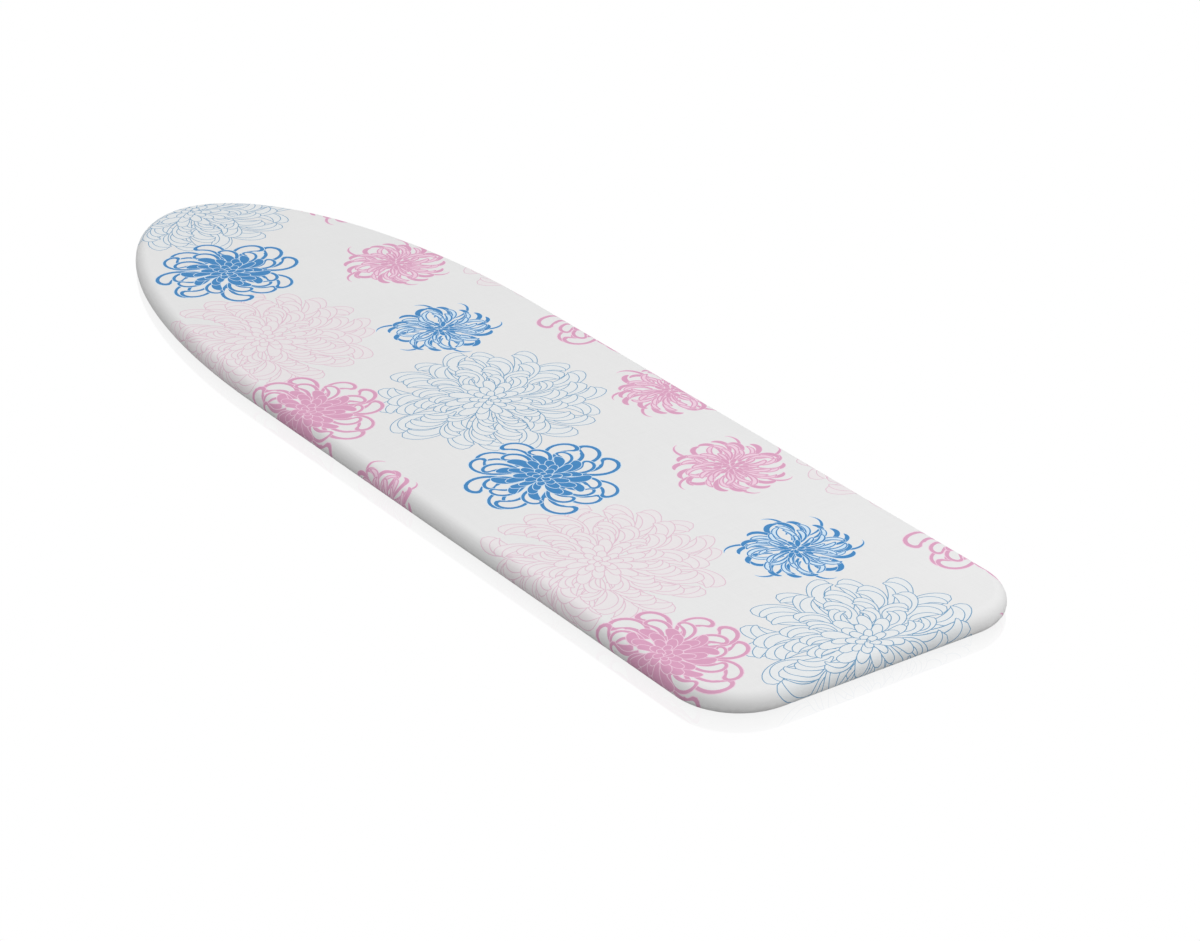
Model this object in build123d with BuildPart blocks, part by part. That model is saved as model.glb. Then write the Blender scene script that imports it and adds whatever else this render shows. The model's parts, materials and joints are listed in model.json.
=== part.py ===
"""Ironing-board top in a printed cotton cover: padding on a perforated steel sheet, a tubular rim, cross ribs,
rails that a leg frame bolts to, and a drawcord with a spring-loaded cord lock that holds the cover on.

Frame: +X from the blunt heel to the rounded nose, +Z up, origin under the middle of the board on the plane it rests on.
All sizes are in millimetres.
"""

import os
from math import sqrt

from build123d import *

# Plan outline of the covered board
BOARD_LENGTH = 1250.0
BOARD_WIDTH = 360.0
HEEL_CORNER_RADIUS = 68.0
NOSE_LENGTH = 450.0  # the nose is half an ellipse, this long
HEEL_X = -BOARD_LENGTH / 2
NOSE_START_X = BOARD_LENGTH / 2 - NOSE_LENGTH

# Heights of the layers, from the rest plane up
BOARD_HEIGHT = 22.0
COVER_BOTTOM = 0.6
RIM_TUBE_RADIUS = 5.5
RIM_CENTRE_Z = 8.0
SHEET_BOTTOM = RIM_CENTRE_Z + RIM_TUBE_RADIUS
SHEET_THICKNESS = 0.8
LAYER_GAP = 0.1
FELT_BOTTOM = SHEET_BOTTOM + SHEET_THICKNESS + LAYER_GAP
FELT_THICKNESS = 2.0
FOAM_BOTTOM = FELT_BOTTOM + FELT_THICKNESS + LAYER_GAP
FOAM_THICKNESS = 4.5
RIB_BOTTOM = 6.8
RAIL_THICKNESS = 2.5
RAIL_BOTTOM = RIB_BOTTOM - RAIL_THICKNESS

# Cover: one sheet that turns over the edge and in under the rim
COVER_THICKNESS = 0.8
COVER_TOP_RADIUS = 6.5
COVER_FOOT_RADIUS = 3.0
COVER_LIP_INSET = 40.0

# How far each layer's edge stands in from the covered outline
RIM_INSET = 7.5
SHEET_INSET = 4.0
FELT_INSET = 1.8
FOAM_INSET = 1.6
FOAM_EDGE_RADIUS = 4.3

# Steel parts
RIM_WALL = 1.0
FERRULE_LENGTH = 60.0
FERRULE_RADIUS = 4.4
FERRULE_WALL = 1.0
VENT_RADIUS = 7.0
VENT_PITCH = 36.0
VENT_MARGIN = 30.0
RIB_POSITIONS = {"heel": -450.0, "rear": -170.0, "front": 110.0, "nose": 390.0}
RIB_WEB_WIDTH = 20.0
RIB_FLANGE_WIDTH = 6.0
RIB_WALL = 1.0
RIB_END_GAP = 0.6
RAIL_Y = 80.0
RAIL_WIDTH = 30.0
RAIL_START_X = -480.0
RAIL_END_X = 420.0
RAIL_CENTRE_X = (RAIL_START_X + RAIL_END_X) / 2

# Fasteners
RIVET_RADIUS = 2.1
RIVET_HEAD_RADIUS = 3.8
RIVET_HEAD_HEIGHT = 1.2
RIVET_HOLE_RADIUS = 2.15
LEG_BOLT_SPACING_X = 560.0
LEG_BOLT_HOLE_RADIUS = 3.3
WELD_NUT_FLATS = 10.0
WELD_NUT_HEIGHT = 5.0
WELD_NUT_BORE_RADIUS = 3.0
FOOT_POSITIONS_X = (-400.0, 340.0)
FOOT_RADIUS = 13.0
FOOT_RECESS_RADIUS = 4.6
FOOT_RECESS_DEPTH = 1.8
FOOT_HOLE_RADIUS = 2.1
SCREW_RADIUS = 2.0
SCREW_HEAD_RADIUS = 3.9
SCREW_HEAD_BOTTOM = 0.5
SCREW_TIP_Z = 9.0

# Drawcord in the cover's hem, and its tails through the cord lock
CORD_INSET = 43.0
CORD_Z = 4.0
CORD_RADIUS = 1.5
CASING_RADIUS = 2.4
CASING_BORE_RADIUS = 1.8
TAIL_SPACING = 3.2
TAIL_TURN_RADIUS = 10.0
TAIL_LENGTH = 100.0
HEM_CORD_X = HEEL_X + CORD_INSET
HEM_GAP = TAIL_SPACING + 2 * TAIL_TURN_RADIUS + 4.0
TAIL_END_X = HEM_CORD_X + TAIL_LENGTH
TAB_LENGTH = 16.0
TAB_WIDTH = 11.0
TAB_THICKNESS = 5.6
TAB_HOLE_DEPTH = 9.0
TAB_HOLE_RADIUS = 1.55

# Cord lock: a plunger slides across the cords in a flat body, against a coil spring
LOCK_X = HEM_CORD_X + 34.0
LOCK_LENGTH_X = 16.0
LOCK_BACK_Y = -15.0
LOCK_MOUTH_Y = 9.0
LOCK_THICKNESS = 7.6
LOCK_BORE_END_Y = -13.0
LOCK_BORE_WIDTH = 9.4
LOCK_BORE_HEIGHT = 5.8
CORD_SLOT_HEIGHT = 3.4
CORD_SLOT_HALF_WIDTH = 3.4
BUTTON_WIDTH = 9.2
BUTTON_HEIGHT = 5.6
BUTTON_INNER_Y = -6.5
BUTTON_OUTER_Y = 14.0
BUTTON_TRAVEL = 3.5
SPRING_RADIUS = 1.9
SPRING_WIRE_RADIUS = 0.3
SPRING_PITCH = 1.5


def half_width_at(x, inset):
    """Half the width, at x in the nose or the straight part, of the outline brought inwards by inset."""
    along_nose = max(x - NOSE_START_X, 0.0) / (NOSE_LENGTH - inset)
    return (BOARD_WIDTH / 2 - inset) * sqrt(max(1.0 - along_nose**2, 0.0))


def draw_outline(inset, heel_gap=0.0):
    """Draws the plan outline, brought inwards by inset, with a gap in the middle of the heel edge if one is given."""
    half_width = BOARD_WIDTH / 2 - inset
    corner = HEEL_CORNER_RADIUS - inset
    heel = HEEL_X + inset
    corner_x = heel + corner
    corner_y = half_width - corner
    if heel_gap:
        Line((heel, -heel_gap / 2), (heel, -corner_y))
    else:
        Line((heel, corner_y), (heel, -corner_y))
    CenterArc((corner_x, -corner_y), corner, 180, 90)
    Line((corner_x, -half_width), (NOSE_START_X, -half_width))
    EllipticalCenterArc((NOSE_START_X, 0), NOSE_LENGTH - inset, half_width, -90, arc_size=180)
    Line((NOSE_START_X, half_width), (corner_x, half_width))
    CenterArc((corner_x, corner_y), corner, 90, 90)
    if heel_gap:
        Line((heel, corner_y), (heel, heel_gap / 2))


def finish_part(builder, name):
    """Names a finished sub-part and writes its STEP file."""
    builder.part.label = name
    export_step(builder.part, f"parts/{name}.step")


os.makedirs("parts", exist_ok=True)
BOLT_XS = (RAIL_CENTRE_X - LEG_BOLT_SPACING_X / 2, RAIL_CENTRE_X + LEG_BOLT_SPACING_X / 2)
RAIL_SIDES = (-RAIL_Y, RAIL_Y)

# Cover: outer form, less the room inside it, less the opening that the drawn hem leaves underneath
with BuildPart() as cover_room:
    with BuildSketch(Plane.XY.offset(COVER_BOTTOM + COVER_THICKNESS)):
        with BuildLine():
            draw_outline(COVER_THICKNESS)
        make_face()
    extrude(amount=BOARD_HEIGHT - COVER_BOTTOM - 2 * COVER_THICKNESS)
    fillet(cover_room.faces().sort_by(Axis.Z)[-1].edges(), COVER_TOP_RADIUS - COVER_THICKNESS)
    fillet(cover_room.faces().sort_by(Axis.Z)[0].edges(), COVER_FOOT_RADIUS - COVER_THICKNESS)

with BuildPart() as cover:
    with BuildSketch(Plane.XY.offset(COVER_BOTTOM)):
        with BuildLine():
            draw_outline(0.0)
        make_face()
    extrude(amount=BOARD_HEIGHT - COVER_BOTTOM)
    fillet(cover.faces().sort_by(Axis.Z)[-1].edges(), COVER_TOP_RADIUS)
    fillet(cover.faces().sort_by(Axis.Z)[0].edges(), COVER_FOOT_RADIUS)
    add(cover_room.part, mode=Mode.SUBTRACT)
    with BuildSketch(Plane.XY.offset(COVER_BOTTOM - COVER_THICKNESS)):
        with BuildLine():
            draw_outline(COVER_LIP_INSET)
        make_face()
    extrude(amount=3 * COVER_THICKNESS, mode=Mode.SUBTRACT)
finish_part(cover, "cover")

# Padding: a foam layer on a felt underlay
with BuildPart() as foam_pad:
    with BuildSketch(Plane.XY.offset(FOAM_BOTTOM)):
        with BuildLine():
            draw_outline(FOAM_INSET)
        make_face()
    extrude(amount=FOAM_THICKNESS)
    fillet(foam_pad.faces().sort_by(Axis.Z)[-1].edges(), FOAM_EDGE_RADIUS)
finish_part(foam_pad, "foam_pad")

with BuildPart() as felt_pad:
    with BuildSketch(Plane.XY.offset(FELT_BOTTOM)):
        with BuildLine():
            draw_outline(FELT_INSET)
        make_face()
    extrude(amount=FELT_THICKNESS)
finish_part(felt_pad, "felt_pad")

# Top sheet: sheet steel with staggered steam vents
vent_columns = int(BOARD_LENGTH / VENT_PITCH)
vent_rows = int(BOARD_WIDTH / VENT_PITCH)
vent_places = []
for column in range(vent_columns):
    vent_x = HEEL_X + VENT_MARGIN + VENT_PITCH * (column + 0.5)
    stagger = 0.5 * (column % 2)
    for row in range(-vent_rows, vent_rows + 1):
        vent_y = VENT_PITCH * (row + stagger)
        room = half_width_at(vent_x + VENT_RADIUS, VENT_MARGIN)
        if vent_x < HEEL_X + HEEL_CORNER_RADIUS:
            room -= HEEL_CORNER_RADIUS / 2
        if abs(vent_y) < room - VENT_RADIUS:
            vent_places.append((vent_x, vent_y))

with BuildPart() as top_sheet:
    with BuildSketch(Plane.XY.offset(SHEET_BOTTOM)):
        with BuildLine():
            draw_outline(SHEET_INSET)
        make_face()
        with Locations(*vent_places):
            Circle(VENT_RADIUS, mode=Mode.SUBTRACT)
    extrude(amount=SHEET_THICKNESS)
finish_part(top_sheet, "top_sheet")

# Rim: a bent steel tube whose ends meet over a ferrule in the middle of the heel
with BuildPart() as rim_tube:
    with BuildLine(Plane.XY.offset(RIM_CENTRE_Z)) as rim_path:
        draw_outline(RIM_INSET)
    rim_wire = rim_path.wire()
    with BuildSketch(Plane(origin=rim_wire @ 0, z_dir=rim_wire % 0)):
        Circle(RIM_TUBE_RADIUS)
        Circle(RIM_TUBE_RADIUS - RIM_WALL, mode=Mode.SUBTRACT)
    sweep(path=rim_wire)
finish_part(rim_tube, "rim_tube")

ferrule_plane = Plane(origin=(HEEL_X + RIM_INSET, 0, RIM_CENTRE_Z), z_dir=(0, 1, 0))
with BuildPart() as rim_ferrule:
    with BuildSketch(ferrule_plane):
        Circle(FERRULE_RADIUS)
        Circle(FERRULE_RADIUS - FERRULE_WALL, mode=Mode.SUBTRACT)
    extrude(amount=FERRULE_LENGTH / 2, both=True)
finish_part(rim_ferrule, "rim_ferrule")

# Cross ribs: pressed hat sections under the sheet, from side to side of the rim
rim_inner_inset = RIM_INSET + RIM_TUBE_RADIUS + RIB_END_GAP
rib_height = SHEET_BOTTOM - RIB_BOTTOM
rib_reach = RIB_WEB_WIDTH / 2 + RIB_FLANGE_WIDTH
for rib_name, rib_x in RIB_POSITIONS.items():
    rib_half_length = half_width_at(rib_x + rib_reach, rim_inner_inset)
    with BuildPart() as cross_rib:
        with BuildSketch(Plane.XZ):
            with Locations((rib_x, RIB_BOTTOM + rib_height / 2)):
                Rectangle(RIB_WEB_WIDTH, rib_height)
            with Locations((rib_x, SHEET_BOTTOM - RIB_WALL / 2)):
                Rectangle(2 * rib_reach, RIB_WALL)
            with Locations((rib_x, RIB_BOTTOM + RIB_WALL + rib_height / 2)):
                Rectangle(RIB_WEB_WIDTH - 2 * RIB_WALL, rib_height, mode=Mode.SUBTRACT)
        extrude(amount=rib_half_length, both=True)
        with BuildSketch(Plane.XY.offset(RIB_BOTTOM)):
            with Locations(*[(rib_x, side) for side in RAIL_SIDES]):
                Circle(RIVET_HOLE_RADIUS)
        extrude(amount=RIB_WALL, mode=Mode.SUBTRACT)
    finish_part(cross_rib, f"cross_rib_{rib_name}")

# Leg rails: flat bars riveted under the ribs, with the holes for a leg frame's bolts and for the feet
rail_length = RAIL_END_X - RAIL_START_X
for rail_name, rail_y in (("left", RAIL_Y), ("right", -RAIL_Y)):
    with BuildPart() as leg_rail:
        with BuildSketch(Plane.XY.offset(RAIL_BOTTOM)):
            with Locations((RAIL_CENTRE_X, rail_y)):
                SlotOverall(rail_length, RAIL_WIDTH)
            with Locations(*[(x, rail_y) for x in RIB_POSITIONS.values()]):
                Circle(RIVET_HOLE_RADIUS, mode=Mode.SUBTRACT)
            with Locations(*[(x, rail_y) for x in BOLT_XS]):
                Circle(LEG_BOLT_HOLE_RADIUS, mode=Mode.SUBTRACT)
            with Locations(*[(x, rail_y) for x in FOOT_POSITIONS_X]):
                Circle(FOOT_HOLE_RADIUS, mode=Mode.SUBTRACT)
        extrude(amount=RAIL_THICKNESS)
    finish_part(leg_rail, f"leg_rail_{rail_name}")

# Rivets through each rail and rib, with a domed head below and a formed head inside the rib
rivet_places = [(x, y) for x in RIB_POSITIONS.values() for y in RAIL_SIDES]
rivet_top = RIB_BOTTOM + RIB_WALL
with BuildPart() as rail_rivets:
    with BuildSketch(Plane.XY.offset(RAIL_BOTTOM)):
        with Locations(*rivet_places):
            Circle(RIVET_RADIUS)
    extrude(amount=rivet_top - RAIL_BOTTOM)
    with BuildSketch(Plane.XY.offset(rivet_top)):
        with Locations(*rivet_places):
            Circle(RIVET_HEAD_RADIUS)
    extrude(amount=RIVET_HEAD_HEIGHT)
    with BuildSketch(Plane.XY.offset(RAIL_BOTTOM)):
        with Locations(*rivet_places):
            Circle(RIVET_HEAD_RADIUS)
    extrude(amount=-RIVET_HEAD_HEIGHT)
    head_rims = rail_rivets.edges().filter_by(GeomType.CIRCLE).group_by(Axis.Z)[0]
    chamfer(head_rims, RIVET_HEAD_HEIGHT / 2)
finish_part(rail_rivets, "rail_rivets")

# Weld nuts over the leg-frame holes
bolt_places = [(x, y) for x in BOLT_XS for y in RAIL_SIDES]
with BuildPart() as weld_nuts:
    with BuildSketch(Plane.XY.offset(RIB_BOTTOM)):
        with Locations(*bolt_places):
            RegularPolygon(WELD_NUT_FLATS / 2, 6, major_radius=False)
            Circle(WELD_NUT_BORE_RADIUS, mode=Mode.SUBTRACT)
    extrude(amount=WELD_NUT_HEIGHT)
finish_part(weld_nuts, "weld_nuts")

# Rubber feet under the rails, each held by a pan-head screw in a recess
foot_places = [(x, y) for x in FOOT_POSITIONS_X for y in RAIL_SIDES]
with BuildPart() as rubber_feet:
    with BuildSketch(Plane.XY):
        with Locations(*foot_places):
            Circle(FOOT_RADIUS)
            Circle(FOOT_HOLE_RADIUS, mode=Mode.SUBTRACT)
    extrude(amount=RAIL_BOTTOM)
    with BuildSketch(Plane.XY):
        with Locations(*foot_places):
            Circle(FOOT_RECESS_RADIUS)
    extrude(amount=FOOT_RECESS_DEPTH, mode=Mode.SUBTRACT)
    outer_walls = rubber_feet.faces().filter_by(GeomType.CYLINDER).filter_by(lambda f: f.radius > FOOT_RADIUS - 1)
    chamfer(outer_walls.edges().filter_by(GeomType.CIRCLE).group_by(Axis.Z)[0], 1.0)
finish_part(rubber_feet, "rubber_feet")

with BuildPart() as foot_screws:
    with BuildSketch(Plane.XY.offset(SCREW_HEAD_BOTTOM)):
        with Locations(*foot_places):
            Circle(SCREW_HEAD_RADIUS)
    extrude(amount=FOOT_RECESS_DEPTH - SCREW_HEAD_BOTTOM)
    with BuildSketch(Plane.XY.offset(FOOT_RECESS_DEPTH)):
        with Locations(*foot_places):
            Circle(SCREW_RADIUS)
    extrude(amount=SCREW_TIP_Z - FOOT_RECESS_DEPTH)
finish_part(foot_screws, "foot_screws")

# Hem casing: the sewn tunnel along the cover's inner edge, open where the cord comes out at the heel
with BuildPart() as hem_casing:
    with BuildLine(Plane.XY.offset(CORD_Z)) as casing_path:
        draw_outline(CORD_INSET, heel_gap=HEM_GAP)
    casing_wire = casing_path.wire()
    with BuildSketch(Plane(origin=casing_wire @ 0, z_dir=casing_wire % 0)):
        Circle(CASING_RADIUS)
        Circle(CASING_BORE_RADIUS, mode=Mode.SUBTRACT)
    sweep(path=casing_wire)
finish_part(hem_casing, "hem_casing")

# Drawcord: round the casing, then both tails side by side towards the middle of the board
tail_y = TAIL_SPACING / 2
turn_x = HEM_CORD_X + TAIL_TURN_RADIUS
turn_y = tail_y + TAIL_TURN_RADIUS
with BuildPart() as drawcord:
    with BuildLine(Plane.XY.offset(CORD_Z)) as cord_path:
        Line((TAIL_END_X, -tail_y), (turn_x, -tail_y))
        CenterArc((turn_x, -turn_y), TAIL_TURN_RADIUS, 90, 90)
        draw_outline(CORD_INSET, heel_gap=2 * turn_y)
        CenterArc((turn_x, turn_y), TAIL_TURN_RADIUS, 180, 90)
        Line((turn_x, tail_y), (TAIL_END_X, tail_y))
    cord_wire = cord_path.wire()
    with BuildSketch(Plane(origin=cord_wire @ 0, z_dir=cord_wire % 0)):
        Circle(CORD_RADIUS)
    sweep(path=cord_wire)
finish_part(drawcord, "drawcord")

# Moulded tab that holds the two cord ends
with BuildPart() as cord_end_tab:
    with BuildSketch(Plane.XY.offset(CORD_Z - TAB_THICKNESS / 2)):
        with Locations((TAIL_END_X - TAB_HOLE_DEPTH + TAB_LENGTH / 2, 0)):
            RectangleRounded(TAB_LENGTH, TAB_WIDTH, 3.0)
    extrude(amount=TAB_THICKNESS)
    fillet(cord_end_tab.faces().filter_by(Axis.Z).edges(), 0.8)
    with BuildSketch(Plane.YZ.offset(TAIL_END_X - TAB_HOLE_DEPTH)):
        with Locations((-tail_y, CORD_Z), (tail_y, CORD_Z)):
            Circle(TAB_HOLE_RADIUS)
    extrude(amount=TAB_HOLE_DEPTH + 0.1, mode=Mode.SUBTRACT)
finish_part(cord_end_tab, "cord_end_tab")

# Cord lock body: a flat block with a bore for the button and a slot for the cords across it
lock_centre_y = (LOCK_BACK_Y + LOCK_MOUTH_Y) / 2
with BuildPart() as cord_lock_body:
    with BuildSketch(Plane.XY.offset(CORD_Z - LOCK_THICKNESS / 2)):
        with Locations((LOCK_X, lock_centre_y)):
            RectangleRounded(LOCK_LENGTH_X, LOCK_MOUTH_Y - LOCK_BACK_Y, 2.5)
    extrude(amount=LOCK_THICKNESS)
    fillet(cord_lock_body.faces().filter_by(Axis.Z).edges(), 0.7)
    with BuildSketch(Plane.XZ.offset(-LOCK_MOUTH_Y)):
        with Locations((LOCK_X, CORD_Z)):
            Rectangle(LOCK_BORE_WIDTH, LOCK_BORE_HEIGHT)
    extrude(amount=LOCK_MOUTH_Y - LOCK_BORE_END_Y, mode=Mode.SUBTRACT)
    with BuildSketch(Plane.YZ.offset(LOCK_X)):
        with Locations((0, CORD_Z)):
            Rectangle(2 * CORD_SLOT_HALF_WIDTH, CORD_SLOT_HEIGHT)
    extrude(amount=LOCK_LENGTH_X, both=True, mode=Mode.SUBTRACT)
finish_part(cord_lock_body, "cord_lock_body")

# Cord lock button: the plunger, with a longer slot so that the cords clear it over its whole travel
with BuildPart() as cord_lock_button:
    with BuildSketch(Plane.XZ.offset(-BUTTON_OUTER_Y)):
        with Locations((LOCK_X, CORD_Z)):
            RectangleRounded(BUTTON_WIDTH, BUTTON_HEIGHT, 0.6)
    extrude(amount=BUTTON_OUTER_Y - BUTTON_INNER_Y)
    fillet(cord_lock_button.faces().sort_by(Axis.Y)[-1].edges(), 0.5)
    with BuildSketch(Plane.YZ.offset(LOCK_X)):
        with Locations((BUTTON_TRAVEL / 2, CORD_Z)):
            Rectangle(2 * CORD_SLOT_HALF_WIDTH + BUTTON_TRAVEL, CORD_SLOT_HEIGHT)
    extrude(amount=BUTTON_WIDTH, both=True, mode=Mode.SUBTRACT)
finish_part(cord_lock_button, "cord_lock_button")

# Return spring between the bore's end and the button: under four turns, which close up to less than the space
# that a full press leaves
spring_height = BUTTON_INNER_Y - LOCK_BORE_END_Y - 2.4 * SPRING_WIRE_RADIUS
spring_start = (LOCK_X, LOCK_BORE_END_Y + 1.2 * SPRING_WIRE_RADIUS, CORD_Z)
with BuildPart() as cord_lock_spring:
    with BuildLine() as coil:
        Helix(SPRING_PITCH, spring_height, SPRING_RADIUS, center=spring_start, direction=(0, 1, 0))
    coil_wire = coil.wire()
    with BuildSketch(Plane(origin=coil_wire @ 0, z_dir=coil_wire % 0)):
        Circle(SPRING_WIRE_RADIUS)
    sweep(path=coil_wire, is_frenet=True)
finish_part(cord_lock_spring, "cord_lock_spring")
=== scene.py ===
"""Ironing board top in a printed cotton cover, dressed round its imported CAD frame.

The cover is one sheet. Its print is drawn flat, in millimetres, as petals laid over one another. The sheet
is cut into triangles along the petals' edges and then folded over the board: flat on top, round the edge and
in underneath.
"""

import json
import math
import random

import bpy
import numpy as np
from mathutils import Matrix, Vector
from mathutils.geometry import delaunay_2d_cdt
from mathutils.kdtree import KDTree


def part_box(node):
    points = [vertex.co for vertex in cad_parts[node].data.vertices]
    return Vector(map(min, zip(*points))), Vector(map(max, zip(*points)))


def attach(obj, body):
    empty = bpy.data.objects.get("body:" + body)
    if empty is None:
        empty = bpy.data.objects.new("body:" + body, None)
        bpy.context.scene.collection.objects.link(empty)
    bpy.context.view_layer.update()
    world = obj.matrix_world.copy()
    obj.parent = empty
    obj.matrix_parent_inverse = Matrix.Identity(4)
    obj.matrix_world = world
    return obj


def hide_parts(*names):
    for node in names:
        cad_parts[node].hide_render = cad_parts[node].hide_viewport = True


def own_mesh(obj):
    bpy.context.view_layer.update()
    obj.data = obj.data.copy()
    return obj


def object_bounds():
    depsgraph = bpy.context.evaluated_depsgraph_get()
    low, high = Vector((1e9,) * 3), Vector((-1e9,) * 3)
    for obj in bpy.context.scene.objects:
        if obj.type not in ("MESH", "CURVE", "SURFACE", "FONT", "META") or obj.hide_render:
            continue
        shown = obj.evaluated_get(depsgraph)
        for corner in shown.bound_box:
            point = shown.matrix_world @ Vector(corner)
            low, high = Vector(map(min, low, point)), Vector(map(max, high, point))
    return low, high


MM = 0.001

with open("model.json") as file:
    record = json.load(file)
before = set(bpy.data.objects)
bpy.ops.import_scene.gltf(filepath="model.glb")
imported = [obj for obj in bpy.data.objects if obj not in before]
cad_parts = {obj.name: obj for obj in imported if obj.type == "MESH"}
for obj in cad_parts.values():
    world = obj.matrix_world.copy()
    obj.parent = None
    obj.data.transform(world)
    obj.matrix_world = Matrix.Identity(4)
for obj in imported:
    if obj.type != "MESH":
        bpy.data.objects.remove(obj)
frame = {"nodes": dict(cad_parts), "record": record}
cad_low, cad_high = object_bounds()

# Plan outline of the covered board, in mm, as the CAD draws it
HALF_LENGTH = (cad_high.x - cad_low.x) / 2 / MM
HALF_WIDTH = (cad_high.y - cad_low.y) / 2 / MM
BOARD_HEIGHT = cad_high.z / MM
HEEL_CORNER_RADIUS = 68.0
NOSE_LENGTH = 450.0
NOSE_START = HALF_LENGTH - NOSE_LENGTH

# Side profile of the cover, from the top round the edge to the hem underneath
EDGE_RADIUS = 13.0
FOOT_RADIUS = 7.0
LIP_BOTTOM = 0.7
SIDE_LENGTH = BOARD_HEIGHT - LIP_BOTTOM - EDGE_RADIUS - FOOT_RADIUS
EDGE_ARC = EDGE_RADIUS * math.pi / 2
FOOT_ARC = FOOT_RADIUS * math.pi / 2
HEM_INSET = 40.5
LIP_LENGTH = HEM_INSET - FOOT_RADIUS
LIP_START = EDGE_ARC + SIDE_LENGTH + FOOT_ARC
SHEET_REACH = LIP_START + LIP_LENGTH
FABRIC_THICKNESS = 0.6
CROWN_DROP = 0.9
CROWN_WIDTH = 34.0

# Print layout: a plain sateen repeat, where spot k stands k steps along and k * SPOT_SKIP steps across
SPOTS = 7
SPOT_SKIP = 3
SPOT_STEP = np.array([86.0, 54.0])
SPOT_TURN = 137.5
BLOOM_REACH = 130.0
FABRIC_WHITE = (0.80, 0.80, 0.80)
BLUE_INK = (0.045, 0.235, 0.53)
BLUE_TINT = (0.62, 0.77, 0.90)
BLUE_LINE = (0.15, 0.33, 0.52)
BLUE_WASH = (0.79, 0.815, 0.83)
PINK_INK = (0.70, 0.35, 0.52)
PINK_TINT = (0.86, 0.62, 0.74)
PINK_LINE = (0.74, 0.52, 0.62)
PINK_WASH = (0.82, 0.78, 0.795)

# Hem: the cord's path, the casing round it and the stitching that holds it
CORD_INSET = 43.0
CORD_Z = 4.0
CORD_RADIUS = 1.45
HEM_X = -HALF_LENGTH + CORD_INSET
TAIL_Y = 1.6
TAIL_TURN_RADIUS = 10.0
TAIL_HOLD = 9.0
CASING_RADIUS = 2.15
CASING_HALF_GAP = 14.0
STITCH_PITCH = 3.4
STITCH_INSET = 2.6
STITCH_LIFT = 0.16
STITCH_SIDES = 6
STITCH_SECTIONS = ((0.0, 0.05), (0.12, 0.24), (0.34, 0.30), (0.56, 0.24), (0.68, 0.05))

# Return spring of the cord lock
SPRING_PITCH = 1.5
SPRING_WIRE_RADIUS = 0.3
SPRING_SEAT_GAP = 1.2 * SPRING_WIRE_RADIUS

# Padding: rings that round off each pad's edge, as (distance in from the plan outline, height)
FELT_RINGS = [(3.9, 14.45), (3.6, 15.0), (4.2, 15.9), (5.0, 16.4)]
FOAM_RINGS = [(6.0, 16.6), (5.4, 17.2), (7.0, 18.4), (10.0, 19.4), (14.0, 19.9)]
PAD_GRID = 7.0
PAD_FACE_GRID = 1.6 * PAD_GRID
FOAM_RIPPLE = 0.15

# Fabric weave, in metres
THREAD_PITCH = 0.00042

# Studio
FLOOR_BOUNCE = (0.46, 0.46, 0.46)
FLOOR_MIRROR = 0.13
FLOOR_POLISH = 0.02
FLOOR_SIZE = 14.0
FLOOR_LEVEL = -0.0002
HORIZON_LIGHT = 0.2
ZENITH_LIGHT = 1.16
LAMP_PLACE = (-2.0, -1.9, 2.1)
LAMP_SIZE = (2.2, 1.4)
LAMP_POWER = 26.0
CAMERA_TARGET = (-0.1572, -0.0243, 0.0)
CAMERA_AZIMUTH = 234.57
CAMERA_ELEVATION = 26.86
CAMERA_DISTANCE = 3.578
CAMERA_LENS = 109.4


# ---------------------------------------------------------------- plan outline


def resample(points, spacing):
    """Points about spacing apart along a closed line."""
    closed = np.vstack([points, points[:1]])
    along = np.concatenate([[0], np.cumsum(np.linalg.norm(np.diff(closed, axis=0), axis=1))])
    count = int(round(along[-1] / spacing))
    stations = np.arange(count) * along[-1] / count
    return np.stack([np.interp(stations, along, closed[:, axis]) for axis in (0, 1)], 1)


def outward_normals(loop):
    """Unit normals of an anticlockwise closed line."""
    ahead = np.roll(loop, -1, 0) - np.roll(loop, 1, 0)
    ahead /= np.linalg.norm(ahead, axis=1, keepdims=True)
    return np.stack([ahead[:, 1], -ahead[:, 0]], 1)


def outline(inset, spacing):
    """The plan outline brought in by inset, anticlockwise from the middle of the heel."""
    side = HALF_WIDTH - inset
    corner = HEEL_CORNER_RADIUS - inset
    heel = -HALF_LENGTH + inset
    turn = np.linspace(0, math.pi / 2, 60)
    round_nose = np.linspace(-math.pi / 2, math.pi / 2, 900)
    near_corner = np.stack([heel + corner - corner * np.cos(turn), -side + corner - corner * np.sin(turn)], 1)
    nose = np.stack([NOSE_START + (NOSE_LENGTH - inset) * np.cos(round_nose), side * np.sin(round_nose)], 1)
    far_corner = near_corner[::-1] * (1, -1)
    loop = np.vstack([[(heel, 0.0)], near_corner, nose, far_corner])
    return resample(loop, spacing)


# ------------------------------------------------------------------ the blooms


def width_share(t, base, swell, point):
    """Share of a petal's full half width: it grows from base to 1 at swell, then closes to the tip."""
    rise = base + (1 - base) * np.sin(np.clip(t / swell, 0, 1) * math.pi / 2) ** 1.3
    fall = np.clip((t - swell) / (1 - swell), 0, 1)
    return rise * (1 - fall**2) ** point


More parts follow.
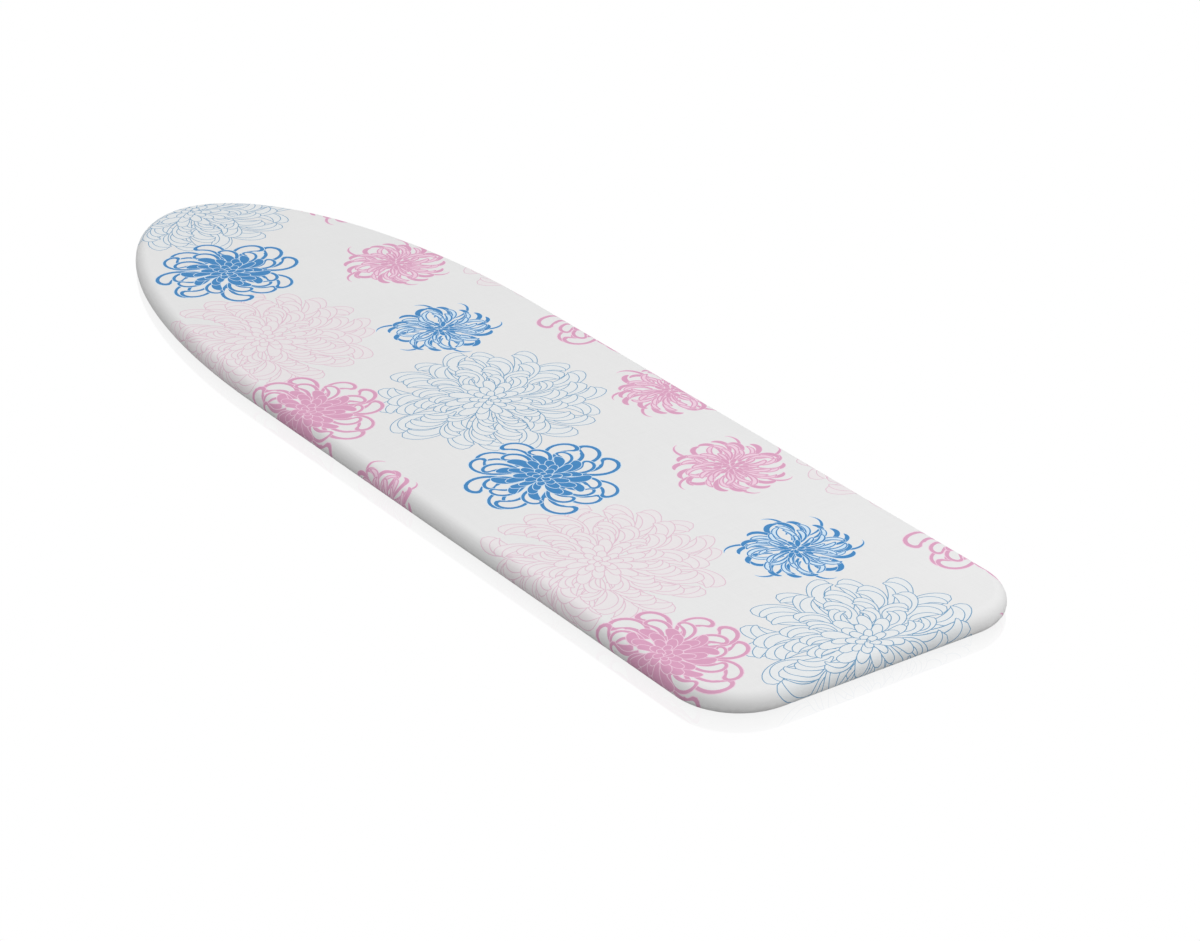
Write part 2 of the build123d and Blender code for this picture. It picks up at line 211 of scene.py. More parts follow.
def petal(root, heading, length, half_width, bend=0.0, curl=0.0, base=0.35, swell=0.6, point=0.5,
          start=0.0, end=1.0):
    """Outline of one petal, as a ribbon that bends evenly and curls more towards its tip.

    start and end keep only that share of the ribbon's length, closed to a petal of its own.
    """
    steps = int(np.clip(6 + (abs(bend) + abs(curl)) * 5 + length * 0.1, 8, 22))
    even = np.linspace(0, 1, steps + 1)
    eased = 0.45 * even + 0.55 * (1 - np.cos(even * math.pi)) / 2
    lead = np.linspace(0, start, 5)[:-1]
    t = np.concatenate([lead, start + (end - start) * eased])
    angle = heading + bend * t + curl * t**3
    middle = (angle[1:] + angle[:-1]) / 2
    stride = np.diff(t) * length
    x = root[0] + np.concatenate([[0], np.cumsum(np.cos(middle) * stride)])[len(lead):]
    y = root[1] + np.concatenate([[0], np.cumsum(np.sin(middle) * stride)])[len(lead):]
    angle = angle[len(lead):]
    half = half_width * width_share(eased, base, swell, point)
    left = np.stack([x - np.sin(angle) * half, y + np.cos(angle) * half], 1)
    right = np.stack([x + np.sin(angle) * half, y - np.cos(angle) * half], 1)
    return np.concatenate([left, right[:-1][::-1]])


def grown(loop, border):
    """A petal's outline moved outwards by border."""
    ahead = np.roll(loop, -1, 0) - loop
    ahead /= np.maximum(np.linalg.norm(ahead, axis=1, keepdims=True), 1e-9)
    along = ahead + np.roll(ahead, 1, 0)
    length = np.linalg.norm(along, axis=1, keepdims=True)
    along /= np.maximum(length, 1e-9)
    following = np.roll(loop, -1, 0)
    turning = np.sign(np.sum(loop[:, 0] * following[:, 1] - following[:, 0] * loop[:, 1]))
    normal = np.stack([along[:, 1], -along[:, 0]], 1) * turning
    return loop + normal * border / np.maximum(length / 2, 0.6)


def petal_ring(rng, count, inner, outer, half_width, bend, curl=0.0, phase=0.0, hollow=0.0, fold=0.0,
               turned=4, **shape):
    """Petals all round a bloom's middle, from inner to outer; every turned-th one bends the other way.

    hollow is the width of a lighter streak inside each petal, and fold that of a turned-over edge laid on it.
    """
    ring = []
    for k in range(count):
        around = phase + 2 * math.pi * (k + rng.uniform(-0.2, 0.2)) / count
        length = (outer - inner) * rng.uniform(0.92, 1.08)
        side = -1 if k % turned == turned - 1 else 1
        turn = bend * side * rng.uniform(0.8, 1.2)
        heading = around - 0.4 * turn
        half = half_width * rng.uniform(0.88, 1.14)
        ahead = np.array([math.cos(heading), math.sin(heading)])
        across = np.array([-ahead[1], ahead[0]])
        root = inner * np.array([math.cos(around), math.sin(around)])
        ring.append(("body", petal(root, heading, length, half, turn, curl * side, **shape)))
        if hollow:
            ring.append(("streak", petal(root, heading, length, half * hollow, turn, curl * side, base=0.2,
                                         swell=0.7, start=0.2, end=0.93)))
        if fold:
            edge = root + ahead * length * 0.22 + across * 0.35 * half * side
            ring.append(("body", petal(edge, heading - 0.2 * side, length * 0.76, half * fold,
                                       turn + 0.9 * side, 0.6 * side, base=0.2, swell=0.55, point=0.6)))
    return ring


def small_bloom(seed):
    """A tight bloom of narrow curved petals with pointed tips."""
    rng = random.Random(seed)
    return (
        petal_ring(rng, 6, 30, 76, 1.5, 1.2, 1.2, 0.3, base=0.5, swell=0.5, point=1.2)
        + petal_ring(rng, 18, 24, 64, 2.6, 1.3, 1.4, base=0.3, swell=0.72, point=0.7, turned=5)
        + petal_ring(rng, 16, 18, 54, 3.0, 1.2, 1.0, 0.2, 0.55, base=0.35, swell=0.68, point=0.65)
        + petal_ring(rng, 13, 13, 42, 3.3, 1.1, 0.5, 0.1, 0.5, base=0.4, swell=0.62, point=0.6)
        + petal_ring(rng, 11, 9, 30, 3.0, 0.9, 0.0, 0.3, 0.4, base=0.5, swell=0.55)
        + petal_ring(rng, 9, 5, 18, 2.4, 0.7, base=0.6, swell=0.5)
        + petal_ring(rng, 6, 1, 9, 2.0, 0.7, base=0.7, swell=0.5)
    )


def curled_bloom(seed):
    """An open bloom whose outer petals curl over at their ends, round a close heart of short rounded ones."""
    rng = random.Random(seed)
    return (
        petal_ring(rng, 12, 32, 88, 9.4, 1.1, 2.2, 0.15, 0.62, base=0.3, swell=0.74, turned=3)
        + petal_ring(rng, 11, 24, 66, 7.4, 1.1, 1.8, 0.5, 0.55, base=0.35, swell=0.7, turned=4)
        + petal_ring(rng, 11, 18, 50, 5.4, 1.0, 0.8, 0.1, base=0.45, swell=0.66)
        + petal_ring(rng, 10, 13, 38, 5.0, 0.9, 0.0, 0.4, base=0.6, swell=0.6, point=0.4)
        + petal_ring(rng, 9, 9, 28, 4.4, 0.7, 0.0, 0.1, base=0.7, swell=0.55, point=0.4)
        + petal_ring(rng, 7, 5, 18, 4.0, 0.5, 0.0, 0.3, base=0.75, swell=0.5, point=0.4)
        + petal_ring(rng, 5, 1, 10, 3.2, 0.4, base=0.8, swell=0.5, point=0.4)
    )


def large_bloom(seed):
    """A wide bloom of broad rounded petals with turned-over edges."""
    rng = random.Random(seed)
    return (
        petal_ring(rng, 18, 54, 120, 11.0, 1.0, 0.5, 0.1, 0.0, 0.5, base=0.45, swell=0.72, point=0.38,
                   turned=3)
        + petal_ring(rng, 16, 42, 100, 10.5, 1.0, 0.4, 0.5, 0.0, 0.5, base=0.45, swell=0.7, point=0.38)
        + petal_ring(rng, 14, 32, 80, 9.0, 1.0, 0.3, 0.2, 0.0, 0.45, base=0.5, swell=0.66, point=0.4)
        + petal_ring(rng, 12, 24, 62, 7.4, 0.9, 0.0, 0.4, 0.0, 0.4, base=0.55, swell=0.6, point=0.4)
        + petal_ring(rng, 11, 18, 45, 5.8, 0.8, 0.0, 0.1, base=0.65, swell=0.55, point=0.4)
        + petal_ring(rng, 10, 12, 32, 4.8, 0.6, 0.0, 0.3, base=0.7, swell=0.5, point=0.4)
        + petal_ring(rng, 8, 7, 21, 4.0, 0.4, 0.0, 0.1, base=0.8, swell=0.5, point=0.4)
        + petal_ring(rng, 5, 2, 11, 3.4, 0.3, base=0.8, swell=0.5, point=0.4)
    )


# drawing, seed, spot, border width, inks of border, body and streak, from the lowest layer up
BLOOMS = (
    (large_bloom, 4, 0, 0.9, BLUE_LINE, BLUE_WASH, BLUE_WASH),
    (large_bloom, 9, 3, 0.9, PINK_LINE, PINK_WASH, PINK_WASH),
    (curled_bloom, 5, 1, 0.8, PINK_TINT, PINK_INK, FABRIC_WHITE),
    (curled_bloom, 2, 5, 0.8, BLUE_TINT, BLUE_INK, FABRIC_WHITE),
    (small_bloom, 7, 4, 0.45, PINK_TINT, PINK_INK, PINK_TINT),
    (small_bloom, 6, 2, 0.45, BLUE_TINT, BLUE_INK, BLUE_TINT),
    (small_bloom, 3, 6, 0.45, PINK_TINT, PINK_INK, PINK_TINT),
)


def spot_places(spot):
    """Where a spot's copies stand, for every repeat of the print that reaches this board."""
    first = SPOT_STEP * (spot, spot * SPOT_SKIP % SPOTS)
    repeats = [(column, row) for column in range(-2, 3) for row in range(-2, 3)]
    places = [first + SPOT_STEP * SPOTS * repeat for repeat in repeats]
    reach = np.array([HALF_LENGTH, HALF_WIDTH]) + BLOOM_REACH
    return [place for place in places if np.all(np.abs(place) <= reach)]


def placed_blooms():
    """Every petal of the print on this board, lowest first, as (outline, colour)."""
    layers = []
    for drawing, seed, spot, border, border_ink, body_ink, streak_ink in BLOOMS:
        angle = math.radians(spot * SPOT_TURN)
        rotation = np.array([[math.cos(angle), math.sin(angle)], [-math.sin(angle), math.cos(angle)]])
        petals = [(part, loop @ rotation) for part, loop in drawing(seed)]
        for place in spot_places(spot):
            for part, loop in petals:
                if part == "body":
                    layers.append((grown(loop, border) + place, border_ink))
                    layers.append((loop + place, body_ink))
                else:
                    layers.append((loop + place, streak_ink))
    return layers


# -------------------------------------------------- from the flat sheet to the board


class EdgeFold:
    """The line where the top starts to turn down, and a search for the place on it nearest to a point."""

    def __init__(self):
        self.line = outline(EDGE_RADIUS, 1.0)
        self.normals = outward_normals(self.line)
        turned = np.roll(self.normals, -1, 0) - np.roll(self.normals, 1, 0)
        spacing = np.roll(self.line, -1, 0) - np.roll(self.line, 1, 0)
        self.curvature = np.linalg.norm(turned, axis=1) / np.linalg.norm(spacing, axis=1)
        self.tree = KDTree(len(self.line))
        for index, (x, y) in enumerate(self.line):
            self.tree.insert((x, y, 0.0), index)
        self.tree.balance()

    def nearest(self, points):
        """Foot points, outward normals, distance outside the line and distance along it."""
        found = np.array([self.tree.find((x, y, 0.0))[1] for x, y in points])
        base = self.line[found]
        normal = self.normals[found]
        tangent = np.stack([-normal[:, 1], normal[:, 0]], 1)
        spread = 1 + self.curvature[found] * np.sum((points - base) * normal, 1)
        ahead = np.clip(np.sum((points - base) * tangent, 1) / np.maximum(spread, 0.2), -0.6, 0.6)
        neighbour = (found + np.where(ahead > 0, 1, -1)) % len(self.line)
        share = np.abs(ahead)[:, None]
        foot = base * (1 - share) + self.line[neighbour] * share
        normal = normal * (1 - share) + self.normals[neighbour] * share
        normal /= np.linalg.norm(normal, axis=1, keepdims=True)
        outside = np.sum((points - foot) * normal, 1)
        return foot, normal, outside, found + ahead


FOLD = EdgeFold()
FOLD_LENGTH = float(len(FOLD.line))


def edge_profile(reach):
    """Distance out from the fold line, height and tilt of the normal, at a distance along the sheet."""
    on_edge = np.clip(reach, 0, EDGE_ARC) / EDGE_RADIUS
    on_side = np.clip(reach - EDGE_ARC, 0, SIDE_LENGTH)
    on_foot = np.clip(reach - EDGE_ARC - SIDE_LENGTH, 0, FOOT_ARC) / FOOT_RADIUS
    on_lip = np.clip(reach - LIP_START, 0, None)
    out = EDGE_RADIUS * np.sin(on_edge) - FOOT_RADIUS * (1 - np.cos(on_foot)) - on_lip
    drop = EDGE_RADIUS * (1 - np.cos(on_edge)) + on_side + FOOT_RADIUS * np.sin(on_foot)
    return out, BOARD_HEIGHT - drop, on_edge + on_foot


def gathers(along, reach):
    """Small folds that the drawn hem makes all the way round: none on top, deepest at the hem."""
    phase = 2 * math.pi * along / FOLD_LENGTH
    broad = np.sin(211 * phase + 2.2 * np.sin(17 * phase))
    fine = 0.6 * np.sin(331 * phase + 1.7 * np.sin(23 * phase))
    share = np.clip((reach - EDGE_ARC) / (SHEET_REACH - EDGE_ARC), 0, 1)
    return (broad + fine) * (0.10 * share + 0.75 * share**3)


def padding_give(points):
    """Slow unevenness of the padded top."""
    x, y = points[:, 0], points[:, 1]
    broad = np.sin(x / 83 + 1.3 * np.sin(y / 71)) * np.sin(y / 57 + 0.9 * np.sin(x / 97))
    fine = np.sin(x / 29 + 1.1 * np.sin(y / 37 + 1)) * np.sin(y / 31 + 0.8 * np.sin(x / 43))
    return 0.22 * broad + 0.07 * fine


def folded(points, lift=0.0):
    """Places points of the flat sheet on the board, lift above its outer face, all in mm."""
    foot, normal, reach, along = FOLD.nearest(points)
    reach = np.minimum(reach, SHEET_REACH)
    out, height, tilt = edge_profile(np.maximum(reach, 0))
    push = lift + gathers(along, reach)
    plan = np.where((reach > 0)[:, None], foot + normal * (out + push * np.sin(tilt))[:, None], points)
    crown = CROWN_DROP * np.exp(-((np.minimum(reach, 0) / CROWN_WIDTH) ** 2))
    on_top = np.clip(1 - np.maximum(reach, 0) / EDGE_ARC, 0, 1)
    hem_rise = 1.1 * np.clip((reach - LIP_START) / LIP_LENGTH, 0, 1) ** 2
    height = height + push * np.cos(tilt) + (padding_give(points) - crown) * on_top + hem_rise
    return np.column_stack([plan, height])


# -------------------------------------------------------- cutting the sheet up


def inside(loop, points):
    """Which points lie inside a closed line that may cross itself, by winding number."""
    ax, ay = loop[:, 0], loop[:, 1]
    bx, by = np.roll(ax, -1), np.roll(ay, -1)
    px, py = points[:, :1], points[:, 1:]
    left = (bx - ax) * (py - ay) - (px - ax) * (by - ay)
    up = (ay <= py) & (by > py) & (left > 0)
    down = (ay > py) & (by <= py) & (left < 0)
    return up.sum(1) != down.sum(1)


def topmost(points, loops):
    """For each point, the index of the last line it lies inside, or -1."""
    order = np.argsort(points[:, 0])
    ranked = points[order]
    top = np.full(len(points), -1)
    for index, loop in enumerate(loops):
        low, high = loop.min(0), loop.max(0)
        first, last = np.searchsorted(ranked[:, 0], (low[0], high[0]))
        near = np.arange(first, last)
        near = near[(ranked[near, 1] >= low[1]) & (ranked[near, 1] <= high[1])]
        top[near[inside(loop, ranked[near])]] = index
    result = np.empty(len(points), int)
    result[order] = top
    return result


def kept_on_sheet(loops_and_inks):
    """The petals that reach the sheet, held just inside its cut edge."""
    kept = []
    limit = SHEET_REACH - 1.0
    for loop, ink in loops_and_inks:
        foot, normal, reach, _ = FOLD.nearest(loop)
        if reach.min() > limit:
            continue
        beyond = (reach > limit)[:, None]
        kept.append((np.where(beyond, foot + normal * limit, loop), ink))
    return kept


def visible_edges(loops):
    """Points and edges of the petals' outlines, without the stretches that a later petal covers."""
    corners = np.vstack(loops)
    owner = np.repeat(np.arange(len(loops)), [len(loop) for loop in loops])
    following = np.concatenate([np.roll(np.arange(len(loop)), -1) for loop in loops])
    starts = np.concatenate([[0], np.cumsum([len(loop) for loop in loops])[:-1]])
    following = following + starts[owner]
    middles = (corners + corners[following]) / 2
    corner_shown = topmost(corners, loops) <= owner
    shown = corner_shown | corner_shown[following] | (topmost(middles, loops) <= owner)
    edges = np.column_stack([np.nonzero(shown)[0], following[shown]])
    used = np.unique(edges)
    renumbered = np.full(len(corners), -1)
    renumbered[used] = np.arange(len(used))
    return corners[used], renumbered[edges]


def sheet_rings(steps):
    """Rings of points round the edge of the sheet, as (distance along the sheet, spacing) pairs say."""
    rings = []
    for reach, spacing in steps:
        line = resample(FOLD.line, spacing)
        rings.append(line + outward_normals(line) * reach)
    return rings


def top_grid(pitch):
    """Staggered points over the flat of the sheet."""
    rows = []
    for row, y in enumerate(np.arange(-HALF_WIDTH, HALF_WIDTH, pitch * 0.866)):
        x = np.arange(-HALF_LENGTH, HALF_LENGTH, pitch) + (row % 2) * pitch / 2
        rows.append(np.column_stack([x, np.full(len(x), y)]))
    points = np.vstack(rows)
    reach = FOLD.nearest(points)[2]
    return points[reach < -pitch / 2]


def triangulated(border, extra_points, edge_points=None, edges=None):
    """Cuts the area inside a border into triangles: their corners, the triangles and the border's corners."""
    count = len(border)
    blocks = [border, extra_points]
    constraints = [(k, (k + 1) % count) for k in range(count)]
    if edge_points is not None:
        offset = count + len(extra_points)
        blocks.append(edge_points)
        constraints += [(a + offset, b + offset) for a, b in edges.tolist()]
    points = [Vector(p) for p in np.vstack(blocks).tolist()]
    corners, _, faces, origins, _, _ = delaunay_2d_cdt(points, constraints, [], 0, 1e-4, True)
    places = {source: index for index, sources in enumerate(origins) for source in sources if source < count}
    rim = np.array([places[k] for k in range(count)])
    return np.array([corner[:] for corner in corners]), np.array(faces), rim


def mesh_object(name, points, faces, normals=None):
    """A smooth-shaded object from points in mm."""
    mesh = bpy.data.meshes.new(name)
    mesh.from_pydata((np.asarray(points) * MM).tolist(), [], [list(face) for face in faces])
    mesh.shade_smooth()
    if normals is not None:
        mesh.normals_split_custom_set_from_vertices(normals.tolist())
    piece = bpy.data.objects.new(name, mesh)
    bpy.context.scene.collection.objects.link(piece)
    return piece


def sheet_normals(points):
    """Unit normals of the folded sheet, from its slope either side of each point."""
    step = 0.5
    across_x = folded(points + (step, 0)) - folded(points - (step, 0))
    across_y = folded(points + (0, step)) - folded(points - (0, step))
    normal = np.cross(across_x, across_y)
    return normal / np.linalg.norm(normal, axis=1, keepdims=True)


def shaping_points():
    """Points inside the sheet that let it follow the board: rings round its edge and a grid over the top."""
    roll_steps = [(EDGE_ARC * k / 6, 7.0) for k in range(7)]
    foot_steps = [(EDGE_ARC + SIDE_LENGTH + FOOT_ARC * k / 4, 5.0) for k in range(5)]
    lip_steps = [(LIP_START + LIP_LENGTH * k / 7, 3.0) for k in range(1, 7)]
    return np.vstack(sheet_rings(roll_steps + foot_steps + lip_steps) + [top_grid(14.0)])


def colour_corners(cover, face_colours):
    """Gives every corner of a face that face's print colour."""
    sizes = np.array([len(face.vertices) for face in cover.data.polygons])
    colours = np.column_stack([np.repeat(face_colours, sizes, axis=0), np.ones(sizes.sum())])
    layer = cover.data.color_attributes.new("Print", "FLOAT_COLOR", "CORNER")
    layer.data.foreach_set("color", colours.ravel().astype(np.float32))


def map_fabric(cover, flat, faces):
    """Keeps each corner's place on the flat sheet, in metres, as a UV map for the weave."""
    places = flat[np.concatenate([np.array(face) for face in faces])] * MM
    cover.data.uv_layers.new(name="Fabric").data.foreach_set("uv", places.ravel().astype(np.float32))


def build_cover():
    """The printed sheet and its plain inner face, joined at the hem's cut edge."""
    layers = kept_on_sheet(placed_blooms())
    loops = [loop for loop, _ in layers]
    inks = np.array([ink for _, ink in layers] + [FABRIC_WHITE])
    border = sheet_rings([(SHEET_REACH, 3.0)])[0]
    shaping = shaping_points()
    outer, outer_faces, outer_rim = triangulated(border, shaping, *visible_edges(loops))
    inner, inner_faces, inner_rim = triangulated(border, shaping)

    inner_normals = sheet_normals(inner)
    points = np.vstack([folded(outer), folded(inner) - inner_normals * FABRIC_THICKNESS])
    inner_faces = inner_faces + len(outer)
    inner_rim = inner_rim + len(outer)
    hem_edge = np.column_stack([np.roll(outer_rim, -1), outer_rim, inner_rim, np.roll(inner_rim, -1)])
    faces = outer_faces.tolist() + inner_faces[:, ::-1].tolist() + hem_edge.tolist()
    cover = mesh_object("cover_printed", points, faces, np.vstack([sheet_normals(outer), -inner_normals]))

    printed = inks[topmost(outer[outer_faces].mean(1), loops)]
    plain = np.tile(FABRIC_WHITE, (len(inner_faces) + len(hem_edge), 1))
    colour_corners(cover, np.vstack([printed, plain]))
    map_fabric(cover, np.vstack([outer, inner]), faces)
    return cover


# --------------------------------------------------------- hem, cord and padding


def band(first, second, count):
    """Faces between two rings of count points each, numbered on from first and from second."""
    following = [(k + 1) % count for k in range(count)]
    return [(first + k, first + after, second + after, second + k) for k, after in enumerate(following)]


def tube_faces(rings, sides, first=0):
    """Faces of a closed-ended tube whose rings of points are numbered on from first."""
    last = first + (rings - 1) * sides
    faces = [face for ring in range(first, last, sides) for face in band(ring, ring + sides, sides)]
    return faces + [tuple(range(first, first + sides))[::-1], tuple(range(last, last + sides))]


def swept(name, path, radius, sides):
    """A tube along a path in mm. radius(distance along, angle round) gives its surface."""
    ahead = np.gradient(path, axis=0)
    ahead /= np.linalg.norm(ahead, axis=1, keepdims=True)
    across = np.cross((0, 0, 1), ahead)
    across /= np.linalg.norm(across, axis=1, keepdims=True)
    upward = np.cross(ahead, across)
    along = np.concatenate([[0], np.cumsum(np.linalg.norm(np.diff(path, axis=0), axis=1))])
    angle = np.arange(sides) * 2 * math.pi / sides
    size = radius(along[:, None], angle[None, :])[..., None]
    cosine, sine = np.cos(angle)[None, :, None], np.sin(angle)[None, :, None]
    points = path[:, None] + (across[:, None] * cosine + upward[:, None] * sine) * size
    piece = mesh_object(name, points.reshape(-1, 3), tube_faces(len(path), sides))

    corner_points = np.empty(len(piece.data.loops), int)
    piece.data.loops.foreach_get("vertex_index", corner_points)
    place_along = np.repeat(along, sides)[corner_points] * MM
    place_round = np.tile(angle / (2 * math.pi), len(path))[corner_points]
    strip = np.column_stack([place_along, place_round])
    piece.data.uv_layers.new(name="Strip").data.foreach_set("uv", strip.ravel().astype(np.float32))
    return piece


def open_heel(loop, half_gap):
    """The outline from one side of the heel's middle round to the other, with a gap at the heel."""
    at_heel = (loop[:, 0] < HEM_X + 1) & (np.abs(loop[:, 1]) < half_gap)
    ordered = loop[~at_heel]
    first = int(np.argmin(np.where(ordered[:, 0] < HEM_X + 1, np.abs(ordered[:, 1] + half_gap), 1e9)))
    return np.roll(ordered, -first, 0)


def build_hem_casing():
    """The gathered fabric tunnel that the cord runs in, open at the heel."""
    path = open_heel(outline(CORD_INSET, 1.6), CASING_HALF_GAP)
    path = np.column_stack([path, np.full(len(path), CORD_Z)])

    def gathered(along, angle):
        tuck = np.sin(along * 0.92 + 1.8 * np.sin(along * 0.11)) + 0.5 * np.sin(along * 1.61 + 0.7)
        return CASING_RADIUS + 0.13 * tuck + 0.05 * np.sin(3 * angle + along * 0.3)

    return swept("hem_casing_gathered", path, gathered, 14)


def build_stitching():
    """Lockstitch that holds the casing: short thread loops along the hem, just proud of the fabric."""
    line = resample(FOLD.line, STITCH_PITCH)
    places = line + outward_normals(line) * (SHEET_REACH - STITCH_INSET)
    ahead = np.roll(places, -1, 0) - places
    centres = [folded(places + ahead * share, STITCH_LIFT) for share, _ in STITCH_SECTIONS]
    points, faces = [], []
    for k, (x, y) in enumerate(ahead / np.linalg.norm(ahead, axis=1, keepdims=True)):
        faces += tube_faces(len(STITCH_SECTIONS), STITCH_SIDES, len(points))
        for (_, radius), centre in zip(STITCH_SECTIONS, centres):
            for side in range(STITCH_SIDES):
                angle = 2 * math.pi * side / STITCH_SIDES
                round_thread = np.array([-y * math.cos(angle), x * math.cos(angle), math.sin(angle)])
                points.append(centre[k] + radius * round_thread)
    return mesh_object("hem_stitching", points, faces)


def build_drawcord():
    """The braided cord: round the casing, out at the heel, and two tails side by side."""
    tail_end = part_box("cord_end_tab")[0].x / MM + TAIL_HOLD
    turn_x = HEM_X + TAIL_TURN_RADIUS
    turn_y = TAIL_Y + TAIL_TURN_RADIUS
    tail_x = np.arange(tail_end, turn_x, -0.8)
    tail = np.column_stack([tail_x, np.full(len(tail_x), -TAIL_Y)])
    quarter = np.linspace(0, math.pi / 2, 16)[1:-1]
    bend_x = turn_x - TAIL_TURN_RADIUS * np.sin(quarter)
    bend_y = -turn_y + TAIL_TURN_RADIUS * np.cos(quarter)
    bend = np.column_stack([bend_x, bend_y])
    body = open_heel(outline(CORD_INSET, 4.0), turn_y + 1)
    path = np.vstack([tail, bend, body, bend[::-1] * (1, -1), tail[::-1] * (1, -1)])
    path = np.column_stack([path, np.full(len(path), CORD_Z)])

    def braided(along, angle):
        right = np.sin(4 * angle + along * 1.9)
        left = np.sin(4 * angle - along * 1.9)
        return CORD_RADIUS + 0.045 * np.maximum(right, left)

    return swept("drawcord_braided", path, braided, 20)


def build_spring():
    """The return spring's coil, wound round Z and then turned to lie along +Y in the lock's bore."""
    low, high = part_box("cord_lock_spring")
    coil_radius = (high.x - low.x) / 2 / MM - SPRING_WIRE_RADIUS
    wound_length = (high.y - low.y) / MM - 2 * SPRING_SEAT_GAP
    turned = np.arange(0, 2 * math.pi * wound_length / SPRING_PITCH, math.radians(10))
    rise = SPRING_PITCH * turned / (2 * math.pi)
    path = np.column_stack([coil_radius * np.cos(turned), coil_radius * np.sin(turned), rise])

    def wire(along, angle):
        return np.full(np.broadcast(along, angle).shape, SPRING_WIRE_RADIUS)

    spring = swept("return_spring_coil", path, wire, 12)
    start = ((low.x + high.x) / 2, low.y + SPRING_SEAT_GAP * MM, (low.z + high.z) / 2)
    spring.data.transform(Matrix.Translation(start) @ Matrix.Rotation(math.radians(-90), 4, "X"))
    return spring


def shorten_with_press(spring):
    """Gives the spring a mesh of its own; the coil keeps its full length."""
    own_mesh(spring)


def evenly(loop, count):
    """A given number of points, evenly spread along a closed line."""
    closed = np.vstack([loop, loop[:1]])
    stations = np.arange(count) * len(loop) / count
    return np.stack([np.interp(stations, np.arange(len(closed)), closed[:, axis]) for axis in (0, 1)], 1)


def build_pad(name, rings, ripple):
    """A flat pad with a rounded edge. rings are (inset, height) pairs, from its lower to its upper face."""
    borders = [outline(inset, 1.0) for inset, _ in rings]
    count = int(len(borders[0]) / PAD_GRID)
    points, faces = [], []
    for ring, (border, (_, height)) in enumerate(zip(borders, rings)):
        points.append(np.column_stack([evenly(border, count), np.full(count, height)]))
        if ring:
            faces += band((ring - 1) * count, ring * count, count)
    total = len(rings) * count
    for ring, upward in ((0, False), (len(rings) - 1, True)):
        flat, cut, rim = triangulated(points[ring][:, :2], top_grid(PAD_FACE_GRID))
        numbers = np.full(len(flat), -1)
        numbers[rim] = np.arange(count) + ring * count
        inner = np.nonzero(numbers < 0)[0]
        numbers[inner] = total + np.arange(len(inner))
        total += len(inner)
        points.append(np.column_stack([flat[inner], np.full(len(inner), rings[ring][1])]))
        cut = numbers[cut]
        faces += (cut if upward else cut[:, ::-1]).tolist()
    points = np.vstack(points)
    points[:, 2] += ripple * padding_give(points[:, :2] * 1.7)
    return mesh_object(name, points, faces)


# -------------------------------------------------------------------- materials


